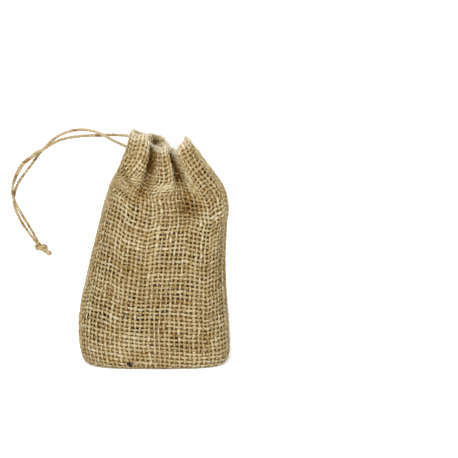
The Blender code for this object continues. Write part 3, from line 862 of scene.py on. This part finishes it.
def stray_fibres(cloth, rng):
    """Fine hairs that stand off the threads, more of them on the rim."""
    made = []
    s = np.linspace(0, 1, len(HAIR_TAPER))[:, None]
    for _ in range(HAIR_COUNT):
        at_rim = rng.random() < HAIRS_ON_RIM
        row = rng.normal(0.0, HAIR_SPREAD) if at_rim else rng.uniform(FIRST_WEFT, cloth.edge_row.min())
        column = rng.uniform(0, WARPS)
        place, face, down, across = spot_on_cloth(cloth, row, column)
        heading = rng.uniform(0, 2 * np.pi)
        onward = down * np.cos(heading) + across * np.sin(heading)
        length = rng.uniform(*HAIR_LENGTH) * (RIM_HAIR_LENGTH if at_rim else 1.0)
        lift = rng.uniform(*HAIR_LIFT) * (RIM_HAIR_LIFT if at_rim else 1.0)
        line = place + face * (HAIR_ROOT + lift * np.sin(s * rng.uniform(*HAIR_ARCH))) + onward * length * s
        line += np.cross(face, onward) * rng.normal(0, HAIR_BEND) * s**2
        half = np.array(HAIR_TAPER) * rng.uniform(*HAIR_HALF)
        # paler on the rim, partly wear and partly painted highlight
        tone = rng.uniform(*HAIR_TONE) + HAIR_WEAR_AND_HIGHLIGHT * worn(row)
        # painted shade in the hollows and inside the mouth
        tone -= HAIR_SHADE * painted_shade(cloth, row, column) + (HAIR_INSIDE if row < 0 else 0.0)
        made.append(plain_thread(line, face, half, half, tone, rng.uniform(*HAIR_WARMTH)))
    return made


# Bits of bark left in the yarn: heading 0 runs across and pi/2 down, and tone 0 is the darkest
Speck = namedtuple("Speck", "row column length heading tone")
BARK = [Speck(*row) for row in (
    (53.9, 20.1, 2.8, 0.3, 0.0), (53.7, 19.6, 2.2, 1.9, 0.0), (53.4, 20.4, 2.0, 2.6, 0.1),
    (53.6, 20.0, 2.4, 1.1, 0.1), (42.6, 18.9, 1.9, 1.2, 0.9), (42.1, 19.2, 1.5, 2.0, 1.0),
    (41.6, 19.5, 1.4, 0.4, 0.9), (33.2, 22.8, 1.1, 0.6, 0.8), (18.2, 25.2, 1.1, 1.4, 0.8),
    (45.3, 30.6, 1.1, 2.8, 0.9), (28.4, 12.7, 1.0, 0.9, 0.8), (36.6, 58.2, 1.6, 0.4, 0.7),
    (22.1, 66.4, 1.1, 1.3, 0.8), (48.8, 71.5, 1.3, 2.4, 0.8),
)]
BARK_TAPER = (0.25, 0.8, 1.0, 0.95, 0.7, 0.2)
BARK_OUT = 0.66  # how far it lies out from the cloth's middle
BARK_ARCH = 0.12  # and its own middle above that
BARK_BEND = 5.0  # how strongly it is bent, in radians from end to end
BARK_HALF = 0.18  # half thickness of a very short one, before it is flattened
BARK_HALF_GROWS = 0.14 / 3  # and what each millimetre of length adds
BARK_UNEVEN = (0.9, 1.2)
BARK_WIDE = 1.5  # flattened, it is this much wider
BARK_THICK = 0.6  # and this much thinner
BARK_TONE_BETWEEN = 0.1
BARK_WARMTH = 0.3


def bark_specks(cloth, rng):
    """Dark slivers of bark caught in the yarn."""
    made = []
    s = np.linspace(-0.5, 0.5, len(BARK_TAPER))
    for speck in BARK:
        place, face, down, across = spot_on_cloth(cloth, speck.row, speck.column)
        onward = unit(down * np.sin(speck.heading) + across * np.cos(speck.heading))
        out = BARK_OUT + BARK_ARCH * np.cos(s * BARK_BEND)
        line = place + face * out[:, None] + onward * (s * speck.length)[:, None]
        middle = BARK_HALF + BARK_HALF_GROWS * speck.length
        half = middle * np.array(BARK_TAPER) * rng.uniform(*BARK_UNEVEN)
        tone = speck.tone + rng.uniform(-BARK_TONE_BETWEEN, BARK_TONE_BETWEEN)
        made.append(plain_thread(line, face, half * BARK_WIDE, half * BARK_THICK, tone, BARK_WARMTH))
    return made


STITCH_ROW = HEM_ROWS - 0.4
STITCH_LENGTH = 1.55  # in threads
STITCH_GAP = 0.28
STITCH_POINTS = 9
STITCH_UNEVEN = 0.04  # rows up or down
STITCH_IN = 0.05  # its ends lie this far in from the cloth's middle
STITCH_OUT = 0.70  # and it rises this far above them
STITCH_SQUARE = 0.35  # power: below 1, it rises steeply and lies flat on top
STITCH_TONE = 0.6
STITCH_TONE_BETWEEN = 0.1
STITCH_WARMTH = 0.4
SEWING_THICK = 0.34


def hem_stitches(cloth, rng):
    """The row of stitches that holds the hem and closes the drawstring's casing."""
    made = []
    count = int(WARPS / (STITCH_LENGTH + STITCH_GAP))
    share = np.linspace(0, 1, STITCH_POINTS)
    out = STITCH_OUT * np.sin(np.pi * share) ** STITCH_SQUARE - STITCH_IN
    half = SEWING_THICK / 2
    for number in range(count):
        column = number * WARPS / count + share * STITCH_LENGTH
        row = np.full(STITCH_POINTS, STITCH_ROW) + STITCH_UNEVEN * rng.normal()
        middle, face = cloth_at(cloth, row, column)
        tone = STITCH_TONE + STITCH_TONE_BETWEEN * rng.normal()
        made.append(plain_thread(middle + face * out[:, None], face, half, half, tone, STITCH_WARMTH))
    return made


# ---------------------------------------------------------------- drawstring

def smooth_curve(points, step):
    """Evenly spaced points along a smooth curve through the given ones."""
    points = np.asarray(points, float)
    reach = distance_along(points)
    fine = np.linspace(0, reach[-1], FINE_POINTS * len(points))
    path = np.stack([smooth(reach, values, fine) for values in points.T], axis=-1)
    travelled = distance_along(path)
    wanted = np.linspace(0, travelled[-1], max(3, round(travelled[-1] / step) + 1))
    return read_line(path, travelled, wanted)


def carried_frames(path):
    """Two directions across a line at each of its points, carried along it without turning about it."""
    onward = unit(np.gradient(path, axis=0))
    first = np.empty_like(path)
    first[0] = unit(np.cross(onward[0], [0.0, 1.0, 0.3]))
    for i in range(1, len(path)):
        first[i] = unit(first[i - 1] - onward[i] * (first[i - 1] @ onward[i]))
    return first, np.cross(onward, first)


def plies(path, rng, phase=0.0, swell=0.0, loosens=0.0):
    """The two plies of the twine, twisted round each other along a path."""
    count = len(path)
    first, second = carried_frames(path)
    passed = distance_along(path)
    spread = 1 + swell * np.exp(-((passed - SWELL_AT) / SWELL_HALF) ** 4)
    spread += loosens * ease(passed / passed[-1])
    made = []
    for ply in range(2):
        angle = phase + passed / TWINE_TWIST * 2 * np.pi + ply * np.pi
        away = first * np.cos(angle)[:, None] + second * np.sin(angle)[:, None]
        line = path + away * (PLY_OUT * spread)[:, None]
        half = PLY_THICK / 2 * np.exp(PLY_SLUB * soft_line(rng, count, PLY_SLUB_RUN)) * spread
        patches = np.maximum(soft_line(rng, count, PATCH_RUN) - PATCHES_FROM, 0.0)
        tone = TWINE_TONE + TWINE_TONE_ALONG * soft_line(rng, count, TWINE_TONE_RUN)
        tone -= PATCH_DEEPER * patches
        warmth = TWINE_WARMTH + PATCH_WARMER * patches
        made.append(Thread(line, away, half * PLY_WIDER, half, tone, warmth, False))
    return made


def drawstring_end(name, route, rng, material, swell=0.0):
    """One end of the drawstring as a twisted twine, and the line that it follows."""
    path = smooth_curve(route, TWINE_STEP)
    return make_threads(name, plies(path, rng, swell=swell), material, TWINE_SIDES), path


def knot_turn(offset):
    """One strand of the turn that is tied round both ends."""
    axis = unit(np.array(KNOT_AXIS))
    forward = np.array([0.0, -1.0, 0.0])
    across = np.cross(forward, axis)
    return np.array([KNOT_AT + axis * (along + offset) + across * side + forward * out
                     for along, side, out in KNOT_TURN])


def tied_knot(rng, material):
    """The overhand knot: both strands run through it, and a doubled turn goes round them."""
    parts = []
    for route in KNOT_ROUTES:
        parts += plies(smooth_curve(route, KNOT_STEP), rng, loosens=TAIL_LOOSENS)
    for offset in (-TURN_DOUBLED, TURN_DOUBLED):
        parts += plies(smooth_curve(knot_turn(offset), KNOT_STEP), rng, phase=offset)
    return make_threads("overhand_knot", parts, material, TWINE_SIDES)


def frayed_ends(rng, material):
    """Fibres that spread from the string's two cut ends."""
    made = []
    s = np.linspace(0, 1, len(FRAY_TAPER))[:, None]
    for route in KNOT_ROUTES:
        end, before = np.array(route[-1]), np.array(route[-2])
        onward = unit(end - before)
        for _ in range(FRAY_COUNT):
            away = rng.normal(size=3)
            away = unit(away - onward * (away @ onward))
            length = rng.uniform(*FRAY_LENGTH)
            root = end - onward * FRAY_START + away * rng.uniform(0, FRAY_ROOTS)
            line = root + onward * s * length + away * s**2 * rng.uniform(*FRAY_BEND)
            half = np.array(FRAY_TAPER) * rng.uniform(*FRAY_HALF)
            made.append(plain_thread(line, away, half, half, rng.uniform(*FRAY_TONE), FRAY_WARMTH))
    return make_threads("frayed_ends", made, material, FRAY_SIDES)


# ---------------------------------------------------------------- finishes

# A fibre's colours, from its deepest tone to its palest, and the ruddy one that warmth brings. Twist is how
# often the streaks wind round the thread in a millimetre, and bump how high they stand in millimetres.
# shade, the deepest colour, is where the painted shade of the slots, hollows and mouth takes a thread; the
# palest is where the rim's wear and painted highlight take it
FIBRE_COLOURS = ("shade", "deep", "usual", "pale", "worn", "ruddy")
Jute = namedtuple("Jute", ("name", "twist", "fineness", "bump", "roughness", *FIBRE_COLOURS))
JUTES = [
    Jute("weft_jute", 0.5, 6.0, 0.16, 0.9,
         (0.028, 0.013, 0.003), (0.098, 0.045, 0.006), (0.266, 0.200, 0.080),
         (0.415, 0.390, 0.285), (0.52, 0.44, 0.33), (0.20, 0.08, 0.024)),
    Jute("warp_jute", 0.5, 6.0, 0.16, 0.9,
         (0.030, 0.014, 0.003), (0.105, 0.050, 0.007), (0.276, 0.209, 0.085),
         (0.430, 0.404, 0.298), (0.53, 0.45, 0.34), (0.21, 0.088, 0.027)),
    Jute("loose_hair", 0.0, 2.0, 0.02, 0.85,
         (0.06, 0.03, 0.008), (0.30, 0.20, 0.09), (0.50, 0.40, 0.23),
         (0.64, 0.55, 0.38), (0.68, 0.57, 0.42), (0.45, 0.28, 0.13)),
    Jute("sewing_thread", 1.2, 5.0, 0.05, 0.8,
         (0.05, 0.03, 0.01), (0.20, 0.12, 0.05), (0.34, 0.25, 0.13),
         (0.50, 0.42, 0.26), (0.60, 0.52, 0.38), (0.40, 0.25, 0.12)),
    Jute("drawstring_jute", 0.35, 6.0, 0.14, 0.88,
         (0.02, 0.01, 0.003), (0.12, 0.062, 0.020), (0.26, 0.195, 0.095),
         (0.405, 0.355, 0.225), (0.53, 0.47, 0.34), (0.21, 0.10, 0.032)),
    Jute("bark", 0.2, 5.0, 0.06, 0.8,
         (0.006, 0.005, 0.004), (0.012, 0.009, 0.008), (0.036, 0.026, 0.018),
         (0.060, 0.044, 0.030), (0.08, 0.06, 0.04), (0.05, 0.03, 0.018)),
]
# The tones between which each colour takes over from the one before
FIBRE_TONES = [("Deep", -0.9, -0.3), ("Usual", 0.0, 0.45), ("Pale", 0.45, 1.0), ("Worn", 1.0, 1.5)]
STREAK_ALONG = 0.22  # how fast streaks change along a thread and round it
STREAK_ROUND = 0.45
STREAK_CONTRAST = 2.6  # in tones
RUDDY_SHARE = 0.20  # of the ruddy colour, at a warmth of 1
FIBRE_SHINE = 0.06

# painted shade: the sack's shaded inside, seen through the gaps
GAP_DARK = (0.006, 0.004, 0.002, 1)
GAP_WISPS = (0.125, 0.060, 0.020, 1)
BACKED_GROUND = (0.150, 0.064, 0.013, 1)  # where the hem or the base lies behind the gaps
BACKED_SHARE = 0.6
GROUND_WEAR_AND_HIGHLIGHT = (0.36, 0.25, 0.11, 1)  # the fluff on the rim, paler partly from wear and partly as painted highlight


def new_material(name):
    """A material with its node tree and its shader."""
    made = bpy.data.materials.new(name)
    made.use_nodes = True
    return made, made.node_tree, made.node_tree.nodes["Principled BSDF"]


def set_inputs(tree, node, inputs):
    """Gives each named input its value, or links it to the output it is given."""
    for key, value in inputs.items():
        if isinstance(value, bpy.types.NodeSocket):
            tree.links.new(value, node.inputs[key])
        else:
            node.inputs[key].default_value = value


def add_node(tree, kind, inputs=None, **settings):
    """A node with its settings and its inputs."""
    node = tree.nodes.new(kind)
    for key, value in settings.items():
        setattr(node, key, value)
    set_inputs(tree, node, inputs or {})
    return node


def worked_out(tree, operation, *values):
    """The result of a sum on numbers or outputs."""
    return add_node(tree, "ShaderNodeMath", dict(enumerate(values)), operation=operation).outputs[0]


def blend(tree, share, first, second):
    """The first colour where the share is 0, the second where it is 1."""
    inputs = {"Factor": share, "A": first, "B": second}
    return add_node(tree, "ShaderNodeMix", inputs, data_type="RGBA", clamp_factor=True).outputs["Result"]


def values_of(tree, label):
    """The numbers that set_values has put on the mesh."""
    return add_node(tree, "ShaderNodeAttribute", attribute_name=label).outputs["Fac"]


def fibre_group():
    """Spun fibres on a thread: fine streaks that wind round it, from a deep colour to a pale one."""
    group = bpy.data.node_groups.new("spun fibres", "ShaderNodeTree")
    sockets = [(colour.capitalize(), "INPUT", "NodeSocketColor") for colour in FIBRE_COLOURS]
    sockets += [("Twist", "INPUT", "NodeSocketFloat"), ("Fineness", "INPUT", "NodeSocketFloat"),
                ("Color", "OUTPUT", "NodeSocketColor"), ("Height", "OUTPUT", "NodeSocketFloat")]
    for name, in_out, kind in sockets:
        group.interface.new_socket(name=name, in_out=in_out, socket_type=kind)
    given = add_node(group, "NodeGroupInput").outputs

    place = add_node(group, "ShaderNodeUVMap", uv_map="yarn")
    split = add_node(group, "ShaderNodeSeparateXYZ", {0: place.outputs["UV"]}).outputs
    wound = worked_out(group, "MULTIPLY", split["X"], given["Twist"])
    angle = worked_out(group, "MULTIPLY", worked_out(group, "ADD", split["Y"], wound), 2 * math.pi)
    spot = add_node(group, "ShaderNodeCombineXYZ", {
        "X": worked_out(group, "MULTIPLY", split["X"], STREAK_ALONG),
        "Y": worked_out(group, "MULTIPLY", worked_out(group, "COSINE", angle), STREAK_ROUND),
        "Z": worked_out(group, "MULTIPLY", worked_out(group, "SINE", angle), STREAK_ROUND)})
    noise = add_node(group, "ShaderNodeTexNoise", {
        "Vector": spot.outputs[0], "Scale": given["Fineness"], "Detail": 3.0, "Roughness": 0.6})
    streaks = noise.outputs["Fac"]

    streak = worked_out(group, "MULTIPLY", worked_out(group, "SUBTRACT", streaks, 0.5), STREAK_CONTRAST)
    tone = worked_out(group, "ADD", streak, values_of(group, "tone"))
    colour = given["Shade"]
    for name, start, end in FIBRE_TONES:
        share = worked_out(group, "DIVIDE", worked_out(group, "SUBTRACT", tone, start), end - start)
        colour = blend(group, share, colour, given[name])
    ruddy = worked_out(group, "MULTIPLY", values_of(group, "warmth"), RUDDY_SHARE)
    colour = blend(group, ruddy, colour, given["Ruddy"])
    add_node(group, "NodeGroupOutput", {"Color": colour, "Height": streaks})
    return group


def fibre_material(group, jute):
    """Jute in one of its forms: a matt surface of wound streaks, raised a little."""
    made, tree, shader = new_material(jute.name)
    inputs = {colour.capitalize(): (*getattr(jute, colour), 1) for colour in FIBRE_COLOURS}
    inputs.update({"Twist": jute.twist, "Fineness": jute.fineness})
    fibres = add_node(tree, "ShaderNodeGroup", inputs, node_tree=group).outputs
    raised = add_node(tree, "ShaderNodeBump", {
        "Height": fibres["Height"], "Strength": 0.7, "Distance": jute.bump * MM})
    set_inputs(tree, shader, {"Base Color": fibres["Color"], "Normal": raised.outputs["Normal"],
                              "Roughness": jute.roughness, "Specular IOR Level": FIBRE_SHINE})
    return made


def ground_material():
    """Fibre fluff deep in the gaps, with paler wisps, on a near-black that is painted shade of the sack's
    inside.
    """
    made, tree, shader = new_material("gap_fibres_and_shade")
    spot = add_node(tree, "ShaderNodeTexCoord").outputs["Object"]
    wisps = add_node(tree, "ShaderNodeTexNoise", {
        "Vector": spot, "Scale": 900.0, "Detail": 3.0, "Roughness": 0.65})
    patches = add_node(tree, "ShaderNodeTexNoise", {"Vector": spot, "Scale": 90.0, "Detail": 2.0})
    both = worked_out(tree, "MULTIPLY", wisps.outputs["Fac"], patches.outputs["Fac"])
    ramp = add_node(tree, "ShaderNodeValToRGB", {"Fac": both})
    for mark, place, colour in zip(ramp.color_ramp.elements, (0.17, 0.36), (GAP_DARK, GAP_WISPS)):
        mark.position = place
        mark.color = colour
    colour = ramp.outputs["Color"]
    # a second layer behind the gaps shows instead of the painted shade, and the rim's fluff is paler,
    # partly from wear and partly as painted highlight
    for label, backed, most in (("doubled", BACKED_GROUND, BACKED_SHARE), ("worn", GROUND_WEAR_AND_HIGHLIGHT, 1.0)):
        share = worked_out(tree, "MULTIPLY", values_of(tree, label), most)
        colour = blend(tree, share, colour, backed)
    set_inputs(tree, shader, {"Base Color": colour, "Roughness": 0.95, "Specular IOR Level": 0.1})
    return made


# ---------------------------------------------------------------- stage, light and camera, in metres

FLOOR_HALF = 4.0  # half its width
FLOOR_FRONT = -7.0
FLOOR_BACK = 1.2  # where it starts to curve up
FLOOR_CURVE = 0.6  # the curve's radius
FLOOR_CURVE_POINTS = 16
BACKDROP_TOP = 3.0
FLOOR_WHITE = (0.90, 0.90, 0.90, 1)
FLOOR_GLOW = 0.30
WORLD_LIGHT = 0.6
Softbox = namedtuple("Softbox", "name place size power")
SOFTBOXES = [Softbox("key", (-0.25, -1.0, 0.80), 0.40, 22.0), Softbox("fill", (0.9, -0.6, 0.4), 0.6, 5.0)]
LIGHT_AIM = (0.0, 0.0, 0.05)


def make_stage():
    """A pale floor that curves up behind into a backdrop."""
    # The flat part ends in corners of its own, so that it is shaded flat
    profile = [(FLOOR_FRONT, 0.0), (FLOOR_BACK, 0.0)]
    profile += [(FLOOR_BACK + FLOOR_CURVE * math.sin(angle), FLOOR_CURVE * (1 - math.cos(angle)))
                for angle in np.linspace(0, math.pi / 2, FLOOR_CURVE_POINTS)]
    profile += [(FLOOR_BACK + FLOOR_CURVE, BACKDROP_TOP)]
    corners = [(x, y, z) for y, z in profile for x in (-FLOOR_HALF, FLOOR_HALF)]
    faces = [(2 * i, 2 * i + 1, 2 * i + 3, 2 * i + 2) for i in range(len(profile) - 1)]
    mesh = bpy.data.meshes.new("floor")
    mesh.from_pydata(corners, [], faces)
    mesh.shade_smooth()
    floor = bpy.data.objects.new("floor", mesh)
    bpy.context.scene.collection.objects.link(floor)
    paper, tree, shader = new_material("floor_paper")
    set_inputs(tree, shader, {"Base Color": FLOOR_WHITE, "Roughness": 0.9, "Specular IOR Level": 0.2,
                              "Emission Color": (1, 1, 1, 1), "Emission Strength": FLOOR_GLOW})
    mesh.materials.append(paper)


def add_softbox(softbox):
    light = bpy.data.lights.new(softbox.name, "AREA")
    light.shape = "SQUARE"
    light.size = softbox.size
    light.energy = softbox.power
    made = bpy.data.objects.new(softbox.name, light)
    bpy.context.scene.collection.objects.link(made)
    made.location = softbox.place
    made.rotation_euler = (Vector(LIGHT_AIM) - Vector(softbox.place)).to_track_quat("-Z", "Y").to_euler()


def light_and_camera():
    scene = bpy.context.scene
    scene.view_settings.view_transform = "Standard"
    scene.world = bpy.data.worlds.new("studio")
    scene.world.use_nodes = True
    tree = scene.world.node_tree
    set_inputs(tree, tree.nodes["Background"], {"Color": (1, 1, 1, 1), "Strength": WORLD_LIGHT})
    for softbox in SOFTBOXES:
        add_softbox(softbox)

    rise = math.radians(VIEW_ELEVATION)
    camera = bpy.data.cameras.new("camera")
    camera.sensor_width = SENSOR_WIDTH
    camera.lens = SENSOR_WIDTH * VIEW_DISTANCE / VIEW_WIDTH
    camera.clip_start = 0.01
    eye = bpy.data.objects.new("camera", camera)
    scene.collection.objects.link(eye)
    back = Vector((0, -math.cos(rise), math.sin(rise)))
    eye.location = (Vector(VIEW_AIM) + back * VIEW_DISTANCE) * MM
    eye.rotation_euler = (math.pi / 2 - rise, 0, 0)
    scene.camera = eye


# ---------------------------------------------------------------- the whole sack

def main():
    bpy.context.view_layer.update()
    light_and_camera()
    make_stage()

    fibres = fibre_group()
    finishes = {jute.name: fibre_material(fibres, jute) for jute in JUTES}
    rng = np.random.default_rng(SEED)
    cloth = ruled_cloth(ruled_wall())
    slack = weave_slack(rng, cloth)
    ground = ground_cloth(cloth, ground_material())

    warps = warp_threads(cloth, slack, rng)
    last_weft = int(cloth.end_row.max())
    woven = [
        ("front_warp", warps[:WARPS // 2], "warp_jute", SIDES),
        ("back_warp", warps[WARPS // 2:], "warp_jute", SIDES),
        ("upper_weft", weft_threads(cloth, slack, rng, FIRST_WEFT, MIDDLE_WEFT), "weft_jute", SIDES),
        ("lower_weft", weft_threads(cloth, slack, rng, MIDDLE_WEFT, last_weft), "weft_jute", SIDES),
        ("hem_stitches", hem_stitches(cloth, rng), "sewing_thread", SIDES),
        ("stray_fibres", stray_fibres(cloth, rng), "loose_hair", HAIR_SIDES),
        ("bark_specks", bark_specks(cloth, rng), "bark", SIDES),
    ]
    pieces = [make_threads(name, threads, finishes[finish], sides)
              for name, threads, finish, sides in woven]
    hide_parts("sack")

    twine = finishes["drawstring_jute"]
    upper, upper_path = drawstring_end("drawstring_upper", UPPER_ROUTE, rng, twine, SWELL)
    lower, lower_path = drawstring_end("drawstring_lower", LOWER_ROUTE, rng, twine)
    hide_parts("drawstring_strand_upper")
    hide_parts("drawstring_strand_lower")
    knot = tied_knot(rng, twine)
    fray = frayed_ends(rng, twine)
    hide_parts("drawstring_knot")


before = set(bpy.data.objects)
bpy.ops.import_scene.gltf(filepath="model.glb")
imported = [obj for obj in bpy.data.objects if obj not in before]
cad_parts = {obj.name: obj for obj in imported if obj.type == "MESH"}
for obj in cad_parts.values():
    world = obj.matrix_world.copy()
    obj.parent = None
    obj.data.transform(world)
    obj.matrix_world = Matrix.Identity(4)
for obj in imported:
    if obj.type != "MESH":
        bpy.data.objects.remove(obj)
main()
